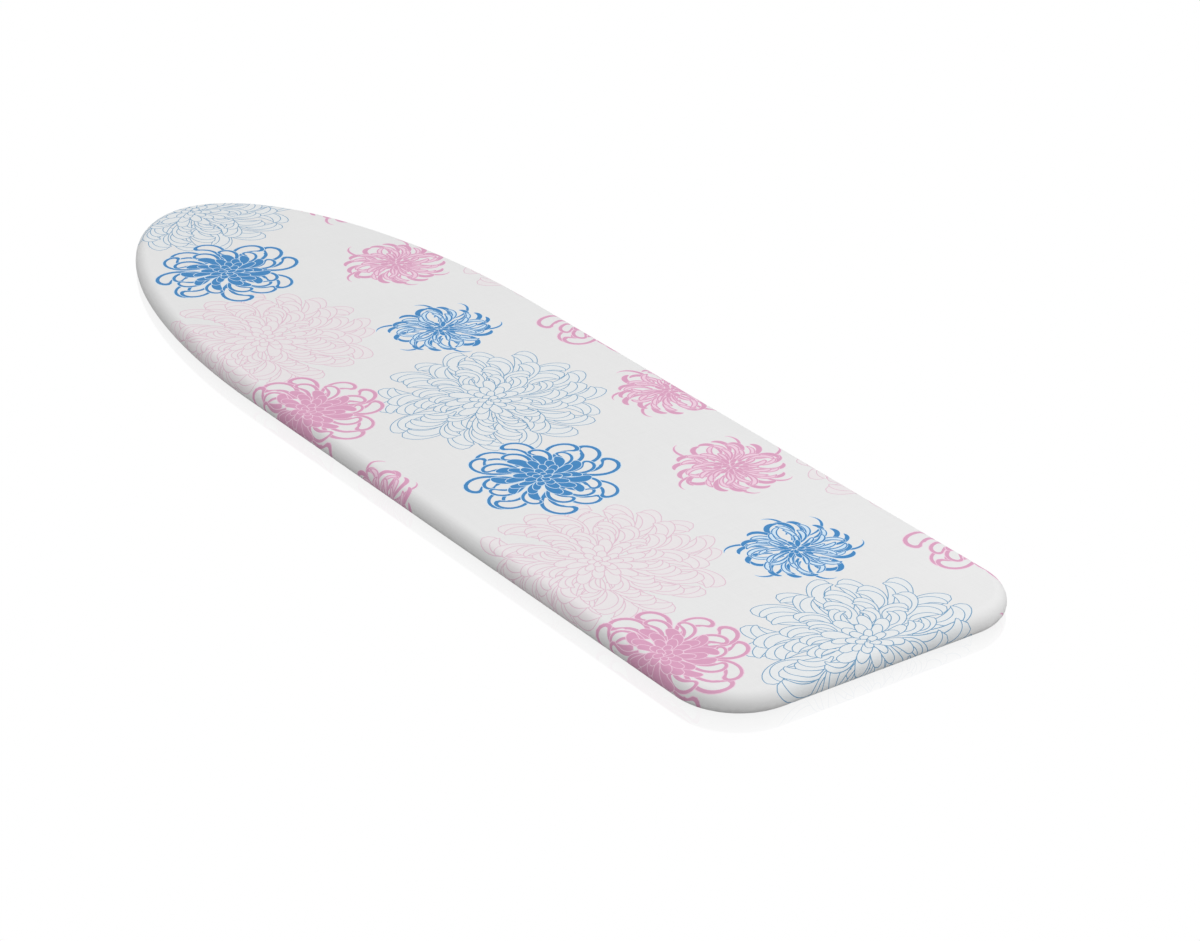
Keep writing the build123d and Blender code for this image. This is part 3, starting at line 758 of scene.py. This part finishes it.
class Finish:
    """A Principled material built up from small node chains."""

    def __init__(self, name, colour, roughness, metallic=0.0):
        self.material = bpy.data.materials.new(name)
        self.material.use_nodes = True
        self.tree = self.material.node_tree
        self.shader = self.tree.nodes["Principled BSDF"]
        self.shader.inputs["Base Color"].default_value = (*colour, 1)
        self.shader.inputs["Roughness"].default_value = roughness
        self.shader.inputs["Metallic"].default_value = metallic
        self.place = self.node("ShaderNodeTexCoord").outputs["Object"]
        self.height = None

    def node(self, kind, settings=None, **inputs):
        """A node with its settings made and its inputs set or linked."""
        made = self.tree.nodes.new(kind)
        for key, value in (settings or {}).items():
            setattr(made, key, value)
        for key, value in inputs.items():
            socket = made.inputs[int(key[1:])] if key[0] == "i" and key[1:].isdigit() else made.inputs[key]
            if isinstance(value, bpy.types.NodeSocket):
                self.tree.links.new(value, socket)
            else:
                socket.default_value = value
        return made

    def math(self, operation, a, b=0.0):
        """The result of one sum on two values."""
        return self.node("ShaderNodeMath", {"operation": operation}, i0=a, i1=b).outputs[0]

    def noise(self, scale, detail=3.0, stretch=None, place=None):
        """A noise value around 0.5, stretched along an axis if asked."""
        place = place or self.place
        if stretch:
            place = self.node("ShaderNodeMapping", Vector=place, Scale=stretch).outputs[0]
        return self.node("ShaderNodeTexNoise", Vector=place, Scale=scale, Detail=detail).outputs["Fac"]

    def cells(self, scale, output="Distance"):
        """Irregular cells: the distance from each one's middle, or its own colour."""
        return self.node("ShaderNodeTexVoronoi", Vector=self.place, Scale=scale).outputs[output]

    def spread(self, value, low, high):
        """A value that ran from 0.25 to 0.75, brought to run from low to high."""
        return self.node("ShaderNodeMapRange", Value=value, i1=0.25, i2=0.75, i3=low, i4=high).outputs[0]

    def tint(self, colour, factor):
        """colour times a number."""
        scaled = self.node("ShaderNodeVectorMath", {"operation": "SCALE"}, i0=colour)
        self.tree.links.new(factor, scaled.inputs["Scale"])
        return scaled.outputs[0]

    def colour(self, socket):
        """Links the surface's colour."""
        self.tree.links.new(socket, self.shader.inputs["Base Color"])

    def mixed(self, factor, first, second):
        """first where factor is 0, second where it is 1."""
        mix = self.node("ShaderNodeMix", {"data_type": "RGBA"}, i0=factor)
        for socket, value in ((mix.inputs[6], first), (mix.inputs[7], second)):
            if isinstance(value, bpy.types.NodeSocket):
                self.tree.links.new(value, socket)
            else:
                socket.default_value = (*value, 1)
        return mix.outputs[2]

    def rough(self, socket):
        """Links the surface's roughness."""
        self.tree.links.new(socket, self.shader.inputs["Roughness"])

    def bump(self, height, distance, strength=1.0):
        """Adds a bump layer of a given real depth in metres."""
        layer = self.node("ShaderNodeBump", Height=height, Distance=distance, Strength=strength)
        if self.height:
            self.tree.links.new(self.height, layer.inputs["Normal"])
        self.height = layer.outputs[0]
        self.tree.links.new(self.height, self.shader.inputs["Normal"])

    def threads(self, place, pitch):
        """Height of a plain weave with threads pitch apart along both axes of place."""
        parts = self.node("ShaderNodeSeparateXYZ", Vector=place)
        warp_wave = self.math("SINE", self.math("MULTIPLY", parts.outputs["X"], math.pi / pitch))
        weft_wave = self.math("SINE", self.math("MULTIPLY", parts.outputs["Y"], math.pi / pitch))
        over = self.math("MULTIPLY", warp_wave, weft_wave)
        warp = self.math("ABSOLUTE", warp_wave)
        weft = self.math("ABSOLUTE", weft_wave)
        blend = self.math("ADD", self.math("MULTIPLY", over, 0.5), 0.5)
        return self.node("ShaderNodeMix", {"data_type": "FLOAT"}, i0=blend, i2=warp, i3=weft).outputs[0]


def cloth_sheen(finish, weight):
    """The soft bright edge of loose fibres, with little shine of its own."""
    finish.shader.inputs["Sheen Weight"].default_value = weight
    finish.shader.inputs["Sheen Roughness"].default_value = 0.45
    finish.shader.inputs["Specular IOR Level"].default_value = 0.25


def printed_cotton():
    """Plain-woven cotton with the printed colours, slubs along both threads, slightly uneven ink and painted
    shade between the threads.
    """
    finish = Finish("cotton_print", FABRIC_WHITE, 0.82)
    flat = finish.node("ShaderNodeUVMap", {"uv_map": "Fabric"}).outputs[0]
    printed = finish.node("ShaderNodeAttribute", {"attribute_name": "Print"}).outputs["Color"]
    warp_slub = finish.noise(900.0, 2.0, (0.02, 1.0, 1.0), flat)
    weft_slub = finish.noise(900.0, 2.0, (1.0, 0.02, 1.0), flat)
    slubs = finish.math("MULTIPLY", finish.math("ADD", warp_slub, weft_slub), 0.5)
    patches = finish.noise(9.0, 2.0, None, flat)
    weave = finish.threads(flat, THREAD_PITCH)
    value = finish.math("ADD", finish.spread(slubs, 0.965, 1.02), finish.spread(patches, -0.008, 0.008))
    # Painted shade: the weave's height lightens the colour on the threads and darkens it in the gaps between
    # them
    value = finish.math("ADD", value, finish.math("MULTIPLY", weave, 0.02))
    finish.colour(finish.tint(printed, value))
    finish.rough(finish.spread(slubs, 0.76, 0.9))
    finish.bump(weave, 0.00005, 0.6)
    finish.bump(slubs, 0.0002, 0.35)
    cloth_sheen(finish, 0.12)
    return finish.material


def plain_cotton():
    """The unprinted cotton of the casing."""
    finish = Finish("cotton_tape", (0.72, 0.72, 0.70), 0.86)
    strip = finish.node("ShaderNodeUVMap", {"uv_map": "Strip"}).outputs[0]
    strip = finish.node("ShaderNodeMapping", Vector=strip, Scale=(1.0, 0.014, 1.0)).outputs[0]
    weave = finish.threads(strip, THREAD_PITCH)
    wear = finish.noise(60.0, 3.0)
    finish.colour(finish.mixed(finish.spread(wear, 0.0, 1.0), (0.70, 0.70, 0.68), (0.76, 0.76, 0.74)))
    finish.rough(finish.spread(wear, 0.8, 0.92))
    finish.bump(weave, 0.00006, 0.6)
    cloth_sheen(finish, 0.15)
    return finish.material


def thread():
    """Twisted sewing thread."""
    finish = Finish("sewing_thread", (0.78, 0.79, 0.80), 0.6)
    twist = finish.noise(5200.0, 1.0, (0.5, 1.0, 1.0))
    finish.colour(finish.mixed(twist, (0.70, 0.71, 0.72), (0.86, 0.86, 0.87)))
    finish.bump(twist, 0.00004, 0.5)
    cloth_sheen(finish, 0.2)
    return finish.material


def braided_cord():
    """Polyester cord: diagonal strands both ways, shaded in the gaps between them."""
    finish = Finish("cord_braid", (0.80, 0.80, 0.77), 0.68)
    strip = finish.node("ShaderNodeUVMap", {"uv_map": "Strip"}).outputs[0]
    parts = finish.node("ShaderNodeSeparateXYZ", Vector=strip)
    along = finish.math("MULTIPLY", parts.outputs["X"], 1900.0)
    around = finish.math("MULTIPLY", parts.outputs["Y"], 8 * math.pi)
    right = finish.math("SINE", finish.math("ADD", around, along))
    left = finish.math("SINE", finish.math("SUBTRACT", around, along))
    strands = finish.math("MAXIMUM", right, left)
    shade = finish.spread(finish.math("MULTIPLY", finish.math("ADD", strands, 1.0), 0.5), 0.0, 1.0)
    finish.colour(finish.mixed(shade, (0.50, 0.50, 0.47), (0.83, 0.83, 0.80)))
    finish.rough(finish.spread(finish.noise(900.0), 0.6, 0.78))
    finish.bump(strands, 0.0001, 0.5)
    cloth_sheen(finish, 0.2)
    return finish.material


def needled_felt():
    """Grey recycled felt with loose fibres and flecks."""
    finish = Finish("felt_needled", (0.45, 0.45, 0.43), 0.95)
    fibres = finish.noise(420.0, 5.0, (1.0, 0.25, 1.0))
    clumps = finish.noise(55.0, 3.0)
    flecks = finish.math("LESS_THAN", finish.cells(240.0), 0.11)
    base = finish.mixed(clumps, (0.34, 0.34, 0.33), (0.55, 0.54, 0.51))
    finish.colour(finish.mixed(finish.math("MULTIPLY", flecks, 0.5), base, (0.22, 0.25, 0.32)))
    finish.bump(fibres, 0.0006, 0.6)
    finish.bump(clumps, 0.001, 0.4)
    cloth_sheen(finish, 0.3)
    return finish.material


def open_cell_foam():
    """Cream foam with open cells, yellowed a little in patches, with painted shade darkening the pores."""
    finish = Finish("foam_open_cell", (0.80, 0.75, 0.55), 0.92)
    pores = finish.cells(620.0)
    large_pores = finish.cells(170.0)
    patches = finish.noise(7.0, 2.0)
    base = finish.mixed(patches, (0.84, 0.80, 0.64), (0.78, 0.70, 0.48))
    # Painted shade: the colour darkens towards each pore's middle, where the bump makes a hollow
    finish.colour(finish.tint(base, finish.spread(pores, 0.86, 1.0)))
    finish.bump(pores, 0.0003, 0.7)
    finish.bump(large_pores, 0.0004, 0.3)
    return finish.material


def galvanised_steel():
    """Zinc-coated sheet with crystals of different greys and light scratches."""
    finish = Finish("steel_galvanised", (0.60, 0.62, 0.64), 0.4, 0.9)
    crystals = finish.cells(95.0, output="Color")
    level = finish.node("ShaderNodeSeparateColor", Color=crystals).outputs[0]
    scratches = finish.noise(240.0, 2.0, (0.04, 1.0, 1.0))
    finish.colour(finish.mixed(level, (0.50, 0.52, 0.54), (0.70, 0.72, 0.74)))
    sheen = finish.math("MULTIPLY", level, 0.16)
    finish.rough(finish.math("ADD", sheen, finish.spread(scratches, 0.26, 0.40)))
    finish.bump(scratches, 0.00003, 0.5)
    return finish.material


def powder_coat():
    """Light grey powder coat: orange peel, faint dust and rubbed spots."""
    finish = Finish("paint_powder_coat", (0.66, 0.67, 0.68), 0.42)
    peel = finish.noise(900.0, 2.0)
    dust = finish.noise(26.0, 4.0)
    rubbed = finish.math("GREATER_THAN", finish.noise(140.0, 5.0), 0.70)
    base = finish.mixed(dust, (0.62, 0.63, 0.64), (0.71, 0.72, 0.73))
    finish.colour(finish.mixed(finish.math("MULTIPLY", rubbed, 0.6), base, (0.42, 0.42, 0.42)))
    finish.rough(finish.spread(dust, 0.34, 0.52))
    finish.bump(peel, 0.00006, 0.5)
    finish.shader.inputs["Coat Weight"].default_value = 0.15
    return finish.material


def zinc_plate():
    """Zinc-plated fasteners with a faint yellow cast and dull patches."""
    finish = Finish("steel_zinc_plated", (0.70, 0.69, 0.64), 0.34, 0.95)
    dull = finish.noise(700.0, 4.0)
    finish.colour(finish.mixed(dull, (0.62, 0.61, 0.55), (0.76, 0.76, 0.73)))
    finish.rough(finish.spread(dull, 0.25, 0.5))
    finish.bump(dull, 0.00002, 0.4)
    return finish.material


def drawn_wire():
    """Spring wire with fine marks along it."""
    finish = Finish("steel_drawn_wire", (0.58, 0.58, 0.60), 0.3, 1.0)
    marks = finish.noise(3000.0, 2.0, (0.2, 1.0, 1.0))
    finish.colour(finish.mixed(marks, (0.46, 0.46, 0.48), (0.68, 0.68, 0.70)))
    finish.rough(finish.spread(marks, 0.22, 0.4))
    return finish.material


def moulded_plastic(name, light, dark):
    """Moulded plastic: a fine matt texture and slightly cloudy colour."""
    finish = Finish(name, light, 0.48)
    texture = finish.noise(2600.0, 2.0)
    cloud = finish.noise(80.0, 2.0)
    finish.colour(finish.mixed(cloud, light, dark))
    finish.rough(finish.spread(texture, 0.38, 0.58))
    finish.bump(texture, 0.00004, 0.6)
    return finish.material


def foot_rubber():
    """Black rubber, greyed by dust and scuffed."""
    finish = Finish("rubber_matte", (0.025, 0.025, 0.026), 0.8)
    grain = finish.noise(1500.0, 3.0)
    dust = finish.noise(120.0, 4.0)
    finish.colour(finish.mixed(finish.spread(dust, 0.0, 0.5), (0.02, 0.02, 0.021), (0.12, 0.12, 0.115)))
    finish.rough(finish.spread(dust, 0.7, 0.95))
    finish.bump(grain, 0.00005, 0.6)
    return finish.material


def dress(piece, material):
    """Gives a piece one material."""
    piece.data.materials.clear()
    piece.data.materials.append(material)


def studio_floor():
    """White with a faint mirror image for the camera, and dim for the light it throws back at the board."""
    finish = Finish("studio_floor", FLOOR_BOUNCE, 1.0)
    finish.shader.inputs["Specular IOR Level"].default_value = 0.0
    glow = finish.node("ShaderNodeEmission", Color=(1, 1, 1, 1), Strength=1.0).outputs[0]
    mirror = finish.node("ShaderNodeBsdfGlossy", Color=(1, 1, 1, 1), Roughness=FLOOR_POLISH).outputs[0]
    seen = finish.node("ShaderNodeMixShader", i0=FLOOR_MIRROR, i1=glow, i2=mirror).outputs[0]
    camera_ray = finish.node("ShaderNodeLightPath").outputs["Is Camera Ray"]
    bounce = finish.shader.outputs[0]
    surface = finish.node("ShaderNodeMixShader", i0=camera_ray, i1=bounce, i2=seen).outputs[0]
    finish.tree.links.new(surface, finish.tree.nodes["Material Output"].inputs["Surface"])
    return finish.material


# --------------------------------------------------------------------- the build


def add_piece(piece, material, body, slot, *nodes):
    """Dresses a piece, puts it on a body and lets it stand for the CAD nodes named."""
    dress(piece, material)
    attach(piece, body)
    if nodes:
        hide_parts(*nodes)


add_piece(build_cover(), printed_cotton(), "board", "cotton_print", "cover")
add_piece(build_hem_casing(), plain_cotton(), "board", "cotton_tape", "hem_casing")
add_piece(build_stitching(), thread(), "board", "cotton_tape")
add_piece(build_drawcord(), braided_cord(), "board", "cord", "drawcord")
add_piece(build_pad("felt_underlay", FELT_RINGS, 0.0), needled_felt(), "board", "felt", "felt_pad")
add_piece(build_pad("foam_padding", FOAM_RINGS, FOAM_RIPPLE), open_cell_foam(), "board", "foam", "foam_pad")

spring = build_spring()
add_piece(spring, drawn_wire(), "cord_lock", "spring_steel", "cord_lock_spring")
shorten_with_press(spring)

# Materials of the CAD parts that are shown as they are, by the record's material slots
FINISHES = {
    "galvanised_sheet": galvanised_steel(),
    "painted_steel": powder_coat(),
    "fastener_zinc": zinc_plate(),
    "moulded_plastic": moulded_plastic("plastic_light_grey", (0.56, 0.57, 0.59), (0.50, 0.51, 0.53)),
    "button_plastic": moulded_plastic("plastic_blue", (0.035, 0.16, 0.38), (0.03, 0.13, 0.32)),
    "foot_rubber": foot_rubber(),
}
for subpart in frame["record"]["subparts"]:
    if subpart["material_slot"] in FINISHES:
        dress(frame["nodes"][subpart["node"]], FINISHES[subpart["material_slot"]])

# --------------------------------------------------------------- stage and camera

def build_floor():
    """A wide plane just under the board."""
    half = FLOOR_SIZE / 2
    corners = [(-half, -half), (half, -half), (half, half), (-half, half)]
    mesh = bpy.data.meshes.new("floor")
    mesh.from_pydata([(x, y, FLOOR_LEVEL) for x, y in corners], [], [(0, 1, 2, 3)])
    floor = bpy.data.objects.new("floor", mesh)
    bpy.context.scene.collection.objects.link(floor)
    dress(floor, studio_floor())


def area_light(name, place, aim, size, power):
    """A soft rectangular lamp at place, pointed at aim."""
    lamp = bpy.data.lights.new(name, "AREA")
    lamp.shape = "RECTANGLE"
    lamp.size, lamp.size_y = size
    lamp.energy = power
    holder = bpy.data.objects.new(name, lamp)
    holder.location = place
    holder.rotation_euler = (Vector(aim) - Vector(place)).to_track_quat("-Z", "Y").to_euler()
    bpy.context.scene.collection.objects.link(holder)


def light_world(horizon, zenith):
    """Soft light, strongest from overhead, behind a white backdrop seen by the camera and in reflections."""
    world = bpy.data.worlds.new("studio")
    world.use_nodes = True
    tree = world.node_tree
    direction = tree.nodes.new("ShaderNodeTexCoord")
    parts = tree.nodes.new("ShaderNodeSeparateXYZ")
    level = tree.nodes.new("ShaderNodeMapRange")
    level.inputs["To Min"].default_value = horizon
    level.inputs["To Max"].default_value = zenith
    rays = tree.nodes.new("ShaderNodeLightPath")
    strength = tree.nodes.new("ShaderNodeMix")
    strength.inputs[2].default_value = 1.0
    tree.links.new(direction.outputs["Generated"], parts.inputs[0])
    tree.links.new(parts.outputs["Z"], level.inputs["Value"])
    tree.links.new(rays.outputs["Is Diffuse Ray"], strength.inputs[0])
    tree.links.new(level.outputs[0], strength.inputs[3])
    tree.links.new(strength.outputs[0], tree.nodes["Background"].inputs["Strength"])
    tree.nodes["Background"].inputs["Color"].default_value = (1, 1, 1, 1)
    bpy.context.scene.world = world


def aim_camera(target, azimuth, elevation, distance, lens):
    a, e = math.radians(azimuth), math.radians(elevation)
    back = Vector((math.sin(a) * math.cos(e), -math.cos(a) * math.cos(e), math.sin(e)))
    data = bpy.data.cameras.new("camera")
    data.lens = lens
    data.sensor_width = 36.0
    camera = bpy.data.objects.new("camera", data)
    camera.location = Vector(target) + back * distance
    camera.rotation_euler = (-back).to_track_quat("-Z", "Y").to_euler()
    bpy.context.scene.collection.objects.link(camera)
    bpy.context.scene.camera = camera


build_floor()
light_world(HORIZON_LIGHT, ZENITH_LIGHT)
area_light("behind", LAMP_PLACE, (0, 0, 0), LAMP_SIZE, LAMP_POWER)
aim_camera(CAMERA_TARGET, CAMERA_AZIMUTH, CAMERA_ELEVATION, CAMERA_DISTANCE, CAMERA_LENS)
bpy.context.scene.view_settings.view_transform = "Standard"
